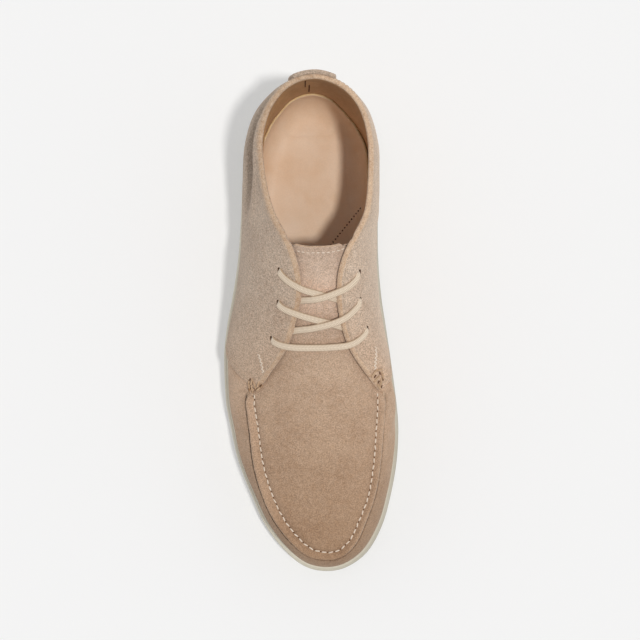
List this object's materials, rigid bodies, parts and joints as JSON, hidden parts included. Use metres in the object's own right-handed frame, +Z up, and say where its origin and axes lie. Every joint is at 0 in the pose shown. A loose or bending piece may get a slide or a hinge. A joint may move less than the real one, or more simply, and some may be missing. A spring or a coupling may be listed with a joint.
{
  "type": "chukka boot",
  "caption": "Moc-toe suede chukka boot for the right foot: hollow lined upper, tongue, flat laces through punched eyelets, leather footbed and one-piece rubber sole.",
  "frame": {"origin": "under the middle of the boot's bounding box, on the floor it stands on", "axes": "+Z up; the toe points to -Y and the heel to +Y; +X is the inner, medial side of this right shoe"},
  "size_m": [0.106, 0.2966, 0.1078],
  "materials": {
    "suede": "sand-coloured suede with a short brushed nap, raw cut edges and cream stitching",
    "footbed_leather": "smooth vegetable-tanned tan leather, matt",
    "sole_rubber": "cream moulded rubber, matt",
    "lace_cotton": "flat woven cotton lace"
  },
  "bodies": {
    "root": {"outsole": "sole_rubber", "insole": "footbed_leather", "upper": "suede", "tongue": "suede", "heel_tab": "suede", "lace_bar": "lace_cotton", "lace_cross_lower": "lace_cotton", "lace_cross_upper": "lace_cotton"}
  },
  "joints": []
}
